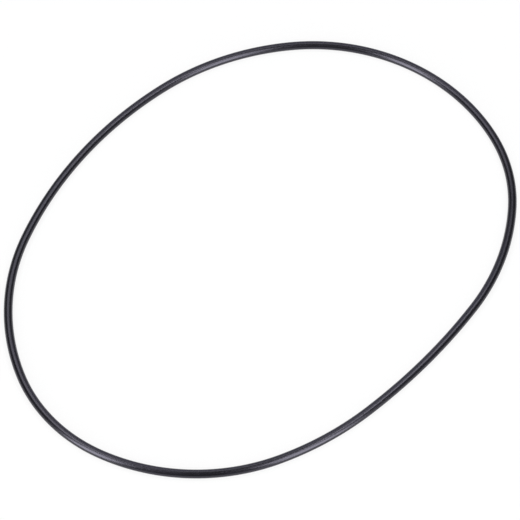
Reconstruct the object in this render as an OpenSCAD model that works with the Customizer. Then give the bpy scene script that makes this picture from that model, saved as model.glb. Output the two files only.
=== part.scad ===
// Rubber O-ring, lying slack on a flat surface.
// It is moulded as a true circle and keeps that circle's length.
// Lying free it eases into a lazy oval, drawn here as ten tangent arcs.
// Origin at the middle of the oval, on the surface it lies on. +X along the oval, +Z up.

/* [Ring as moulded] */
// Inside diameter of the moulded ring
ring_bore = 300; // [150:1:600]
// Diameter of the round section
section_d = 5.3; // [2:0.1:12]

/* [Right end of the oval] */
// Angle turned by the bend at the front of the right end
right_front_angle = 31; // [20:1:45]
// Radius of the bend at the front of the right end
right_front_r = 102; // [70:1:180]
// Angle turned by the right end
right_end_angle = 71; // [50:1:85]
// Radius of the right end
right_end_r = 125; // [90:1:180]
// Angle turned by the bend at the back of the right end
right_back_angle = 31; // [20:1:45]
// Radius of the bend at the back of the right end
right_back_r = 165; // [110:1:230]

/* [Back side of the oval] */
// Angle turned by the back side
back_side_angle = 32; // [20:1:45]
// Radius of the back side
back_side_r = 252; // [150:1:400]

/* [Left end of the oval] */
// Angle turned by the bend at the back of the left end
left_back_angle = 42; // [25:1:55]
// Radius of the bend at the back of the left end
left_back_r = 137; // [90:1:200]
// Angle turned by the left end
left_end_angle = 42; // [25:1:55]
// Radius of the left end
left_end_r = 101; // [70:1:150]
// Angle turned by the bend at the front of the left end
left_front_angle = 49; // [35:1:65]
// Radius of the bend at the front of the left end
left_front_r = 128; // [80:1:170]

/* [Front side of the oval] */
// Angle turned by the easing left of the flattest stretch
ease_left_angle = 18; // [10:1:30]
// Radius of the easing left of the flattest stretch
ease_left_r = 197; // [120:1:260]
// Angle turned by the flattest stretch
flat_angle = 14; // [8:1:25]
// Radius of the flattest stretch
flat_r = 397; // [250:1:600]
// Angle turned by the easing right of the flattest stretch
ease_right_angle = 30; // [20:1:45]
// Radius of the easing right of the flattest stretch
ease_right_r = 149; // [100:1:200]

/* [Hidden] */

$fn = 128;

// Direction that the ring faces outwards where the first bend starts
first_dir = -50;
ring_length = PI * (ring_bore + section_d);
half_circle = 180;
full_circle = 2 * half_circle;

// Angle turned and radius of each bend, anticlockwise from the front of the right end
bends = [
    [right_front_angle, right_front_r],
    [right_end_angle, right_end_r],
    [right_back_angle, right_back_r],
    [back_side_angle, back_side_r],
    [left_back_angle, left_back_r],
    [left_end_angle, left_end_r],
    [left_front_angle, left_front_r],
    [ease_left_angle, ease_left_r],
    [flat_angle, flat_r],
    [ease_right_angle, ease_right_r],
];
last = len(bends) - 1;

function facing(angle) = [cos(angle), sin(angle)];

// The angles share out one full circle, whatever they are drawn at
drawn_angles = [for (bend = bends) bend[0]];
angles = drawn_angles * full_circle / (drawn_angles * [for (bend = bends) 1]);
starts = [for (i = 0, dir = first_dir; i <= last; dir = dir + angles[i], i = i + 1) dir];

// Each bend moves the end of the run by its radius times its span
spans = [for (i = [0 : last]) facing(starts[i] + angles[i]) - facing(starts[i])];
span_x = [for (span = spans) span.x];
span_y = [for (span = spans) span.y];

// The radii share out the gap that is left where the run meets its start, so that it closes
drawn_r = [for (bend = bends) bend[1]];
gap = [drawn_r * span_x, drawn_r * span_y];
spread = [[span_x * span_x, span_x * span_y], [span_x * span_y, span_y * span_y]];
share = [
    gap.y * spread.x.y - gap.x * spread.y.y,
    gap.x * spread.x.y - gap.y * spread.x.x
] / (spread.x.x * spread.y.y - spread.x.y ^ 2);
closed_r = [for (i = [0 : last]) drawn_r[i] + spans[i] * share];

// The closed run is then brought to the length of the moulded ring
run_length = closed_r * angles * PI / half_circle;
radii = closed_r * ring_length / run_length;

// Neighbouring bends share the line through their seam, so each centre follows from the last
function centre(i) = i == 0 ? [0, 0]
    : centre(i - 1) + (radii[i - 1] - radii[i]) * facing(starts[i]);
centres = [for (i = [0 : last]) centre(i)];

// How far the centreline reaches in one direction, from the bend that faces that way
function turned_past(i, dir) = (dir - starts[i] + 2 * full_circle) % full_circle;
function reach(dir) = [
    for (i = [0 : last])
        if (turned_past(i, dir) < angles[i])
            centres[i] * facing(dir) + radii[i]
][0];
middle = [for (dir = [0, half_circle / 2]) reach(dir) - reach(dir + half_circle)] / 2;

// Moves by whole microns and then by what is left, so that neighbouring seams meet exactly
module place(at) {
    microns = [for (length = at) round(length * 1000) / 1000];
    translate(microns)
        translate(at - microns)
            children();
}

module bend(i) {
    place([centres[i].x - middle.x, centres[i].y - middle.y, section_d / 2])
        rotate_extrude(start = starts[i], angle = angles[i])
            place([radii[i], 0, 0])
                circle(d = section_d);
}

module o_ring() {
    color("#232328")
        for (i = [0 : last])
            bend(i);
}

o_ring();
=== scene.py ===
"""A rubber O-ring lying slack on a pale studio floor.

The ring is one moulded torus that has relaxed into an uneven oval. Its sizes and its run
of bends are those of the part's source, in metres here, so it lies where the solid lies.
"""

import logging
import math
from dataclasses import dataclass, field
from enum import Enum

import bmesh
import bpy
from mathutils import Matrix, Vector


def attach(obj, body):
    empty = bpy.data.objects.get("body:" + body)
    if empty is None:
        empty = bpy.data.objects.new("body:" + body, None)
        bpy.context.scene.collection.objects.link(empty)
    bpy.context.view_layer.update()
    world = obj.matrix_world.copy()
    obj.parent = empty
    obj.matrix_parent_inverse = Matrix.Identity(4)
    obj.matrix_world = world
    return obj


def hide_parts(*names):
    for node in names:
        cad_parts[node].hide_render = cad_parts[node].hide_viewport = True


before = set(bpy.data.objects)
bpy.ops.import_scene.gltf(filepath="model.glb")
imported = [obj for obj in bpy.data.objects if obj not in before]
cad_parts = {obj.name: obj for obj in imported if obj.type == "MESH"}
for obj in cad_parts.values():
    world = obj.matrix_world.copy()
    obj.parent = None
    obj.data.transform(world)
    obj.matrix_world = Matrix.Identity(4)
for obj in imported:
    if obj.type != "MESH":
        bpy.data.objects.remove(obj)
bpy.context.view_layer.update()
log = logging.getLogger("rubber_o_ring")

MM = 0.001
PHOTO_WIDTH = 520

Colour = tuple[float, float, float, float]
Tint = tuple[float, float, float]
PLAIN: Tint = (1.0, 1.0, 1.0)
COOL: Tint = (0.83, 0.82, 1.0)


def facing(angle: float) -> Vector:
    """Gives the level direction at an angle.

    Args:
        angle: degrees anticlockwise from +X.

    Returns:
        A unit vector in the plane that the ring lies in.
    """
    return Vector((math.cos(math.radians(angle)), math.sin(math.radians(angle)), 0.0))


def towards(azimuth: float, elevation: float) -> Vector:
    """Gives the direction from the ring out to a camera or a lamp.

    Args:
        azimuth: degrees round the ring, 0 on the -Y side and 90 on the +X side.
        elevation: degrees above the floor.

    Returns:
        A unit vector pointing away from the ring.
    """
    level = math.cos(math.radians(elevation))
    side = facing(azimuth - 90.0) * level
    return Vector((side.x, side.y, math.sin(math.radians(elevation))))


class NodeBench:
    """Lays out the nodes of one material or world and wires them together."""

    def __init__(self, tree: bpy.types.NodeTree) -> None:
        """Clears the tree, so that only what is laid out here is in it.

        Args:
            tree: the node tree to fill.
        """
        self.tree = tree
        self.tree.nodes.clear()

    def add(self, kind: str, **values: object) -> bpy.types.Node:
        """Adds one node and sets its options and unlinked sockets.

        Args:
            kind: the node's Blender type name.
            **values: options by attribute name, or inputs by socket name with spaces as _.

        Returns:
            The new node.
        """
        node = self.tree.nodes.new(kind)
        for name, value in values.items():
            if hasattr(node, name):
                setattr(node, name, value)
            else:
                node.inputs[name.replace("_", " ")].default_value = value
        return node

    def link(self, source: bpy.types.NodeSocket, target: bpy.types.NodeSocket) -> None:
        """Wires an output socket to an input socket."""
        self.tree.links.new(source, target)

    def maths(self, operation: str, *terms: object) -> bpy.types.NodeSocket:
        """Adds a Math node.

        Args:
            operation: the Math node's operation.
            *terms: its inputs in order, each a number or an output socket.

        Returns:
            The node's value output.
        """
        node = self.tree.nodes.new("ShaderNodeMath")
        node.operation = operation
        for slot, term in zip(node.inputs, terms):
            if isinstance(term, bpy.types.NodeSocket):
                self.link(term, slot)
            else:
                slot.default_value = term
        return node.outputs["Value"]

    def ramp(
        self,
        value: bpy.types.NodeSocket,
        low: float,
        high: float,
        to_low: float = 0.0,
        to_high: float = 1.0,
    ) -> bpy.types.NodeSocket:
        """Brings a value from one range to another, smoothly and without going past its ends.

        Args:
            value: the output socket to read.
            low: input value that gives to_low.
            high: input value that gives to_high.
            to_low: result at and below low.
            to_high: result at and above high.

        Returns:
            The mapped value.
        """
        node = self.add("ShaderNodeMapRange", interpolation_type="SMOOTHSTEP")
        for name, number in zip(
            ("From Min", "From Max", "To Min", "To Max"), (low, high, to_low, to_high)
        ):
            node.inputs[name].default_value = number
        self.link(value, node.inputs["Value"])
        return node.outputs["Result"]


class Seam(Enum):
    """Where the two halves of the mould met, in turns round the section from its outer side."""

    OUTER = 0.0
    INNER = 0.5


@dataclass(frozen=True)
class SatinRubber:
    """Black nitrile rubber with the satin skin that a ground mould leaves."""

    black: Colour = (0.0016, 0.0016, 0.0024, 1.0)
    bloom: Colour = (0.0036, 0.0035, 0.0054, 1.0)
    gloss_level: float = 0.74
    gloss_tint: Colour = (0.85, 0.82, 1.0, 1.0)
    skin_roughness: tuple[float, float] = (0.245, 0.265)
    seam_roughness: float = 0.42
    seam_spread: float = 0.016
    bloom_size: float = 14.0 * MM
    bloom_edge: tuple[float, float] = (0.38, 0.72)
    grain_size: float = 0.22 * MM
    grain_height: float = 0.0015 * MM
    lathe_line_pitch: float = 0.30 * MM
    lathe_line_height: float = 0.0010 * MM

    def material(self, ring: "SlackRing") -> bpy.types.Material:
        """Makes the rubber's material.

        Args:
            ring: the ring that it dresses, for the lengths along and round its section.

        Returns:
            The finished material.
        """
        made = bpy.data.materials.new("satin_rubber")
        made.use_nodes = True
        bench = NodeBench(made.node_tree)
        shader = bench.add(
            "ShaderNodeBsdfPrincipled",
            Metallic=0.0,
            Specular_IOR_Level=self.gloss_level,
            Specular_Tint=self.gloss_tint,
        )
        output = bench.add("ShaderNodeOutputMaterial")
        bench.link(shader.outputs["BSDF"], output.inputs["Surface"])

        place = bench.add("ShaderNodeTexCoord")
        bloom = self.bloom_mask(bench, place.outputs["Object"])
        seam = self.seam_mask(bench, place.outputs["UV"])
        self.colour(bench, shader, bloom)
        self.roughness(bench, shader, bloom, seam)
        self.relief(bench, shader, place, ring)
        return made

    def bloom_mask(
        self, bench: NodeBench, place: bpy.types.NodeSocket
    ) -> bpy.types.NodeSocket:
        """Makes soft patches where the rubber's wax has come to the surface.

        Args:
            bench: the material's nodes.
            place: the object's own coordinates.

        Returns:
            A mask from 0 on bare skin to 1 under full bloom.
        """
        patches = bench.add(
            "ShaderNodeTexNoise", Scale=1.0 / self.bloom_size, Detail=5.0, Roughness=0.6
        )
        bench.link(place, patches.inputs["Vector"])
        return bench.ramp(patches.outputs["Fac"], *self.bloom_edge)

    def seam_mask(
        self, bench: NodeBench, unwrapped: bpy.types.NodeSocket
    ) -> bpy.types.NodeSocket:
        """Finds the narrow bands along the mould's parting line.

        Args:
            bench: the material's nodes.
            unwrapped: the ring's own UV map, its V in turns round the section.

        Returns:
            A mask that is 1 on the parting line and 0 away from it.
        """
        split = bench.add("ShaderNodeSeparateXYZ")
        bench.link(unwrapped, split.inputs["Vector"])
        away = bench.maths("PINGPONG", split.outputs["Y"], (Seam.INNER.value - Seam.OUTER.value) / 2)
        return bench.ramp(away, 0.0, self.seam_spread, 1.0, 0.0)

    def colour(
        self,
        bench: NodeBench,
        shader: bpy.types.Node,
        bloom: bpy.types.NodeSocket,
    ) -> None:
        """Colours the rubber, a shade greyer under its bloom.

        Args:
            bench: the material's nodes.
            shader: the rubber's shader.
            bloom: the mask of the bloom.
        """
        mix = bench.add("ShaderNodeMix", data_type="RGBA")
        mix.inputs["A"].default_value = self.black
        mix.inputs["B"].default_value = self.bloom
        bench.link(bloom, mix.inputs["Factor"])
        bench.link(mix.outputs["Result"], shader.inputs["Base Color"])

    def roughness(
        self,
        bench: NodeBench,
        shader: bpy.types.Node,
        bloom: bpy.types.NodeSocket,
        seam: bpy.types.NodeSocket,
    ) -> None:
        """Sets the skin's sheen, duller under the bloom and on the trimmed parting line.

        Args:
            bench: the material's nodes.
            shader: the rubber's shader.
            bloom: the mask of the bloom.
            seam: the mask of the parting line.
        """
        skin = bench.ramp(bloom, 0.0, 1.0, *self.skin_roughness)
        mix = bench.add("ShaderNodeMix", data_type="FLOAT")
        bench.link(seam, mix.inputs["Factor"])
        bench.link(skin, mix.inputs["A"])
        mix.inputs["B"].default_value = self.seam_roughness
        bench.link(mix.outputs["Result"], shader.inputs["Roughness"])

    def relief(
        self,
        bench: NodeBench,
        shader: bpy.types.Node,
        place: bpy.types.Node,
        ring: "SlackRing",
    ) -> None:
        """Raises the fine grain of the skin and the lines of the turned mould that run round the ring.

        Args:
            bench: the material's nodes.
            shader: the rubber's shader.
            place: the material's texture coordinates.
            ring: the ring, for its lengths.
        """
        grain = bench.add("ShaderNodeTexNoise", Scale=1.0 / self.grain_size, Detail=3.0)
        bench.link(place.outputs["Object"], grain.inputs["Vector"])
        grain_height = bench.maths("MULTIPLY", grain.outputs["Fac"], self.grain_height)

        split = bench.add("ShaderNodeSeparateXYZ")
        bench.link(place.outputs["UV"], split.inputs["Vector"])
        across = bench.maths("MULTIPLY", split.outputs["Y"], ring.girth / self.lathe_line_pitch)
        lines = bench.add("ShaderNodeTexNoise", noise_dimensions="1D", Scale=1.0, Detail=2.0)
        bench.link(across, lines.inputs["W"])
        line_height = bench.maths("MULTIPLY", lines.outputs["Fac"], self.lathe_line_height)

        bump = bench.add("ShaderNodeBump", Strength=1.0, Distance=1.0)
        bench.link(bench.maths("ADD", grain_height, line_height), bump.inputs["Height"])
        bench.link(bump.outputs["Normal"], shader.inputs["Normal"])


@dataclass(frozen=True)
class Bend:
    """One arc of the slack ring."""

    part: str
    turn: float
    radius: float


@dataclass(frozen=True)
class LaidBend:
    """A bend in its place: the direction that it starts at, and the arc's centre and radius."""

    start: float
    turn: float
    radius: float
    centre: Vector

    def turned_past(self, angle: float) -> float:
        """Gives how far a direction lies past this bend's start, in degrees up to 360."""
        return (angle - self.start) % 360.0


@dataclass
class SlackRing:
    """The rubber ring: its moulded size, the bends that it lies in, and the mould's parting line."""

    bore: float = 300.0 * MM
    section: float = 5.3 * MM
    first_facing: float = -50.0
    bends: tuple[Bend, ...] = (
        Bend("right front", 31.0, 102.0 * MM),
        Bend("right end", 71.0, 125.0 * MM),
        Bend("right back", 31.0, 165.0 * MM),
        Bend("back side", 32.0, 252.0 * MM),
        Bend("left back", 42.0, 137.0 * MM),
        Bend("left end", 42.0, 101.0 * MM),
        Bend("left front", 49.0, 128.0 * MM),
        Bend("easing to the flat", 18.0, 197.0 * MM),
        Bend("flat of the front side", 14.0, 397.0 * MM),
        Bend("easing from the flat", 30.0, 149.0 * MM),
    )
    sides: int = 64
    seam_cuts: int = 4
    seam_height: float = 0.05 * MM
    seam_width: float = 0.36 * MM
    step: float = 1.0
    weld: float = 0.005 * MM
    laid: list[LaidBend] = field(init=False)

    def __post_init__(self) -> None:
        """Lays the bends out as soon as the sizes are known."""
        self.laid = self.lay_out()

    @property
    def girth(self) -> float:
        """Length once round the section."""
        return math.pi * self.section

    @property
    def length(self) -> float:
        """Length of the centreline, which is that of the moulded ring."""
        return math.pi * (self.bore + self.section)

    def lay_out(self) -> list[LaidBend]:
        """Closes the run of bends, brings it to the moulded length and centres its box.

        Returns:
            The bends in their places, anticlockwise.
        """
        starts = [self.first_facing + sum(b.turn for b in self.bends[:i]) for i in range(len(self.bends))]
        spans = [facing(s + b.turn) - facing(s) for s, b in zip(starts, self.bends)]
        gap = sum((span * b.radius for span, b in zip(spans, self.bends)), Vector((0, 0, 0)))
        xx, xy, yy = (
            sum(span[i] * span[j] for span in spans) for i, j in ((0, 0), (0, 1), (1, 1))
        )
        share = Vector((gap.y * xy - gap.x * yy, gap.x * xy - gap.y * xx, 0)) / (xx * yy - xy * xy)
        closed = [b.radius + span.dot(share) for span, b in zip(spans, self.bends)]
        run = sum(radius * math.radians(b.turn) for radius, b in zip(closed, self.bends))
        radii = [radius * self.length / run for radius in closed]
        centre = Vector((0, 0, 0))
        laid = []
        for i, bend in enumerate(self.bends):
            if i:
                centre = centre + (radii[i - 1] - radii[i]) * facing(starts[i])
            laid.append(LaidBend(starts[i], bend.turn, radii[i], centre))
        middle = Vector(
            (
                (self.reach(laid, 0) - self.reach(laid, 180)) / 2,
                (self.reach(laid, 90) - self.reach(laid, 270)) / 2,
                -self.section / 2,
            )
        )
        return [LaidBend(b.start, b.turn, b.radius, b.centre - middle) for b in laid]

    @staticmethod
    def reach(laid: list[LaidBend], angle: float) -> float:
        """Measures how far the centreline reaches in one direction.

        Args:
            laid: the bends in their places.
            angle: the direction, in degrees from +X.

        Returns:
            The reach of the bend that faces that way.
        """
        facer = next(b for b in laid if b.turned_past(angle) < b.turn)
        return facer.centre.dot(facing(angle)) + facer.radius

    def section_loop(self, mesh: bmesh.types.BMesh) -> list[bmesh.types.BMVert | bmesh.types.BMEdge]:
        """Draws the round section, with the fine raised line where the mould's halves met.

        Args:
            mesh: the mesh to draw in, empty so far.

        Returns:
            The section's vertices and edges, standing where the first bend starts.
        """
        radius = self.section / 2
        bmesh.ops.create_circle(mesh, cap_ends=False, segments=self.sides, radius=radius)
        # The sides that meet on the parting line are cut finer, to carry its ridge
        near = radius * math.sin(1.5 * math.tau / self.sides)
        beside = [e for e in mesh.edges if all(abs(v.co.y) < near for v in e.verts)]
        bmesh.ops.subdivide_edges(mesh, edges=beside, cuts=self.seam_cuts)
        for vert in mesh.verts:
            away = math.atan2(abs(vert.co.y), abs(vert.co.x)) * radius
            rise = max(0.0, 1.0 - away / (self.seam_width / 2))
            lift = self.seam_height * math.sin(rise * math.pi / 2) ** 2
            vert.co = vert.co.normalized() * (radius + lift)
        first = self.laid[0]
        out = facing(first.start)
        at = first.centre + out * first.radius
        up = Vector((0, 0, 1))
        stand = Matrix((out, up, out.cross(up))).transposed().to_4x4()
        bmesh.ops.transform(mesh, matrix=Matrix.Translation(at) @ stand, verts=mesh.verts)
        return [*mesh.verts, *mesh.edges]

    def sweep(self, mesh: bmesh.types.BMesh) -> None:
        """Carries the section round every bend and welds its end to its start.

        Args:
            mesh: the mesh to build in.
        """
        lead = self.section_loop(mesh)
        first = [v for v in lead if isinstance(v, bmesh.types.BMVert)]
        for bend in self.laid:
            swept = bmesh.ops.spin(
                mesh,
                geom=lead,
                cent=bend.centre,
                axis=(0, 0, 1),
                angle=math.radians(bend.turn),
                steps=round(bend.turn / self.step),
                use_merge=False,
                use_duplicate=False,
            )
            lead = swept["geom_last"]
        ends = first + [v for v in lead if isinstance(v, bmesh.types.BMVert)]
        bmesh.ops.remove_doubles(mesh, verts=ends, dist=self.weld)
        bmesh.ops.recalc_face_normals(mesh, faces=mesh.faces)

    def unwrap(self, mesh: bmesh.types.BMesh) -> None:
        """Gives the ring its UV map: U in turns along it and V in turns round its section.

        V starts at the outer side and goes up over the top, and its cut lies underneath.

        Args:
            mesh: the swept ring.
        """
        before = [0.0]
        for bend in self.laid:
            before.append(before[-1] + bend.radius * math.radians(bend.turn))
        spot = {}
        for vert in mesh.verts:
            for bend, run in zip(self.laid, before):
                arm = (vert.co - bend.centre).to_2d()
                past = bend.turned_past(math.degrees(math.atan2(arm.y, arm.x)))
                if past <= bend.turn:
                    break
            else:
                past, run = 0.0, 0.0
            along = (run + bend.radius * math.radians(past)) / self.length
            lift = vert.co.z - self.section / 2
            around = math.atan2(lift, arm.length - bend.radius) / math.tau
            spot[vert] = (along, around + 1.0 if around < -0.25 - 1e-6 else around)
        layer = mesh.loops.layers.uv.new("along_and_round")
        for face in mesh.faces:
            corners = [spot[loop.vert] for loop in face.loops]
            highest = [max(corner[i] for corner in corners) for i in (0, 1)]
            for loop, corner in zip(face.loops, corners):
                loop[layer].uv = [
                    value + 1.0 if top - value > 0.5 else value for value, top in zip(corner, highest)
                ]

    def build(self, rubber: SatinRubber) -> bpy.types.Object:
        """Builds the ring and dresses it.

        Args:
            rubber: the ring's finish.

        Returns:
            The finished piece.
        """
        mesh = bmesh.new()
        self.sweep(mesh)
        self.unwrap(mesh)
        for face in mesh.faces:
            face.smooth = True
        data = bpy.data.meshes.new("moulded_ring")
        mesh.to_mesh(data)
        mesh.free()
        data.materials.append(rubber.material(self))
        piece = bpy.data.objects.new("moulded_ring", data)
        bpy.context.scene.collection.objects.link(piece)
        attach(piece, "root")
        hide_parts("o_ring")
        return piece


@dataclass(frozen=True)
class PhotoCamera:
    """The camera at the photograph's viewing angle."""

    azimuth: float = -44.709
    elevation: float = 58.0
    distance: float = 1916.0 * MM
    aim: tuple[float, float, float] = (-3.93 * MM, -7.52 * MM, 2.65 * MM)
    focal_pixels: float = 3130.5
    sensor_width: float = 36.0
    sight: float = 100.0

    def build(self) -> bpy.types.Object:
        """Sets up the camera and makes it the scene's own.

        Returns:
            The camera.
        """
        data = bpy.data.cameras.new("photo_camera")
        data.sensor_width = self.sensor_width
        data.lens = self.focal_pixels / PHOTO_WIDTH * self.sensor_width
        data.clip_end = self.sight
        camera = bpy.data.objects.new("photo_camera", data)
        out = towards(self.azimuth, self.elevation)
        camera.location = Vector(self.aim) + out * self.distance
        camera.rotation_mode = "QUATERNION"
        camera.rotation_quaternion = out.to_track_quat("Z", "Y")
        bpy.context.scene.collection.objects.link(camera)
        bpy.context.scene.camera = camera
        return camera


@dataclass(frozen=True)
class Lamp:
    """What every lamp of the studio has: its name, its radiance and its tint."""

    name: str
    radiance: float
    tint: Tint = PLAIN

    def hang(self, middle: Vector, axes: tuple[Vector, Vector, Vector], size: tuple[float, float]) -> None:
        """Hangs the lamp.

        Args:
            middle: where the middle of its face goes.
            axes: the way its width runs, the way its height runs and the way its back faces.
            size: its width and height.
        """
        data = bpy.data.lights.new(self.name, "AREA")
        data.shape = "RECTANGLE"
        data.size, data.size_y = size
        data.energy = self.radiance * math.pi * data.size * data.size_y
        data.color = self.tint
        lamp = bpy.data.objects.new(self.name, data)
        lamp.location = middle
        lamp.rotation_mode = "QUATERNION"
        lamp.rotation_quaternion = Matrix(axes).transposed().to_quaternion()
        lamp.visible_camera = False
        bpy.context.scene.collection.objects.link(lamp)


@dataclass(frozen=True, kw_only=True)
class SoftBox(Lamp):
    """A soft box that stands upright round the ring and faces it.

    Its bearing is counted round from the camera, and is positive to the camera's right.
    """

    bearing: float
    distance: float
    width: float
    low: float = 0.0
    high: float

    def build(self, camera: PhotoCamera) -> None:
        """Stands the box in its place.

        Args:
            camera: the camera that its bearing is counted from.
        """
        up = Vector((0, 0, 1))
        out = towards(camera.azimuth + self.bearing, 0.0)
        middle = out * self.distance + up * (self.low + self.high) / 2
        self.hang(middle, (up.cross(out), up, out), (self.width, self.high - self.low))


@dataclass(frozen=True, kw_only=True)
class OverheadPanel(Lamp):
    """A long panel that hangs level over the floor and faces down.

    Its ends are measured from the ring's middle, to the camera's right and away from the camera.
    """

    start: tuple[float, float]
    end: tuple[float, float]
    width: float
    height: float = 1.102

    def build(self, camera: PhotoCamera) -> None:
        """Hangs the panel in its place.

        Args:
            camera: the camera that its ends are measured from.
        """
        up = Vector((0, 0, 1))
        away = -towards(camera.azimuth, 0.0)
        right = away.cross(up)
        start, end = (right * point[0] + away * point[1] for point in (self.start, self.end))
        along = (end - start).normalized()
        middle = (start + end) / 2 + up * self.height
        self.hang(middle, (along, up.cross(along), up), ((end - start).length, self.width))


@dataclass(frozen=True)
class PaleFloor:
    """A plain pale floor that shows nearly white and still takes the ring's soft shadow."""

    reach: float = 40.0
    pale: Colour = (0.86, 0.86, 0.86, 1.0)
    white_share: float = 0.85

    def build(self) -> bpy.types.Object:
        """Lays the floor.

        Returns:
            The floor.
        """
        mesh = bmesh.new()
        bmesh.ops.create_grid(mesh, x_segments=1, y_segments=1, size=self.reach)
        data = bpy.data.meshes.new("pale_floor")
        mesh.to_mesh(data)
        mesh.free()
        data.materials.append(self.material())
        floor = bpy.data.objects.new("pale_floor", data)
        bpy.context.scene.collection.objects.link(floor)
        return floor

    def material(self) -> bpy.types.Material:
        """Makes the floor's material, part of it plain white where it is seen or mirrored.

        Returns:
            The material.
        """
        made = bpy.data.materials.new("pale_floor")
        made.use_nodes = True
        bench = NodeBench(made.node_tree)
        paint = bench.add("ShaderNodeBsdfDiffuse", Color=self.pale)
        white = bench.add("ShaderNodeEmission", Color=(1.0, 1.0, 1.0, 1.0), Strength=1.0)
        path = bench.add("ShaderNodeLightPath")
        mirrored = bench.maths(
            "MAXIMUM", path.outputs["Is Glossy Ray"], path.outputs["Is Transmission Ray"]
        )
        shown = bench.maths("MAXIMUM", path.outputs["Is Camera Ray"], mirrored)
        mix = bench.add("ShaderNodeMixShader")
        bench.link(bench.maths("MULTIPLY", shown, self.white_share), mix.inputs["Fac"])
        bench.link(paint.outputs["BSDF"], mix.inputs[1])
        bench.link(white.outputs["Emission"], mix.inputs[2])
        output = bench.add("ShaderNodeOutputMaterial")
        bench.link(mix.outputs["Shader"], output.inputs["Surface"])
        return made


@dataclass
class Studio:
    """The plain studio: a pale floor, soft boxes standing round it and a horseshoe of panels overhead."""

    camera: PhotoCamera
    floor: PaleFloor = field(default_factory=PaleFloor)
    boxes: tuple[SoftBox, ...] = (
        SoftBox("front_left_box", 6.17, bearing=-46.7, distance=1.707, width=0.700, high=2.578),
        SoftBox("front_right_box", 5.27, bearing=40.3, distance=1.044, width=0.458, high=1.818),
        SoftBox("back_box", 0.81, COOL, bearing=178.3, distance=1.081, width=1.273, low=0.236, high=1.022),
    )
    panels: tuple[OverheadPanel, ...] = (
        OverheadPanel("left_front_panel", 3.40, start=(-0.461, -0.297), end=(-0.554, 0.148), width=0.485),
        OverheadPanel("left_back_panel", 2.04, start=(-0.554, 0.148), end=(-0.667, 0.597), width=0.485),
        OverheadPanel("back_panel", 1.98, start=(-0.667, 0.597), end=(0.453, 0.523), width=0.355),
        OverheadPanel("right_back_panel", 3.17, start=(0.453, 0.523), end=(0.571, 0.157), width=0.298),
        OverheadPanel("right_front_panel", 5.19, start=(0.571, 0.157), end=(0.404, -0.309), width=0.298),
    )
    ambient: float = 0.152

    def build(self) -> None:
        """Lays the floor, sets every lamp in its place and sets the faint ambient."""
        self.floor.build()
        for lamp in (*self.boxes, *self.panels):
            lamp.build(self.camera)
        world = bpy.data.worlds.new("studio")
        bpy.context.scene.world = world
        world.use_nodes = True
        bench = NodeBench(world.node_tree)
        air = bench.add("ShaderNodeBackground", Color=(1.0, 1.0, 1.0, 1.0), Strength=self.ambient)
        output = bench.add("ShaderNodeOutputWorld")
        bench.link(air.outputs["Background"], output.inputs["Surface"])


def main() -> None:
    """Builds the ring, the camera and the studio in order."""
    logging.basicConfig(level=logging.INFO, format="%(name)s: %(message)s")
    piece = SlackRing().build(SatinRubber())
    log.info("%s: %d faces", piece.name, len(piece.data.polygons))
    camera = PhotoCamera()
    log.info("%s in place", camera.build().name)
    Studio(camera).build()
    log.info("studio lit")
    bpy.context.scene.view_settings.view_transform = "Standard"


if __name__ == "__main__":
    main()
